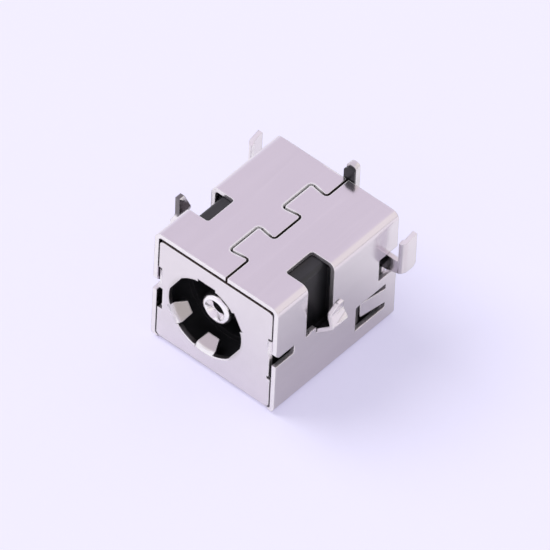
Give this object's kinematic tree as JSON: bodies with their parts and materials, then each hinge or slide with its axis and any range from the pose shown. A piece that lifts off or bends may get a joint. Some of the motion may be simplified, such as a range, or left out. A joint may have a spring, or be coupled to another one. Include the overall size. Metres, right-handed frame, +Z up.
{
  "type": "dc power jack",
  "caption": "Shielded dc barrel jack for a circuit board: folded metal shell with a dovetail seam, round mouth with leaf contacts, centre pin, side solder legs.",
  "frame": {"origin": "centre of the shell's plain resting face", "axes": "+Z up from the resting face towards the seam and the solder legs, +Y the way the plug goes in, +X across the mouth"},
  "size_m": [0.0146, 0.0134, 0.0114],
  "materials": {
    "plated_sheet": "nickel plated, satin",
    "black_plastic": "moulded, semi matte",
    "plated_pin": "nickel plated, bright",
    "plated_terminal": "tin plated"
  },
  "bodies": {
    "root": {"shield_shell": "plated_sheet", "housing": "black_plastic", "centre_pin": "plated_pin", "centre_terminal": "plated_terminal"}
  },
  "joints": []
}
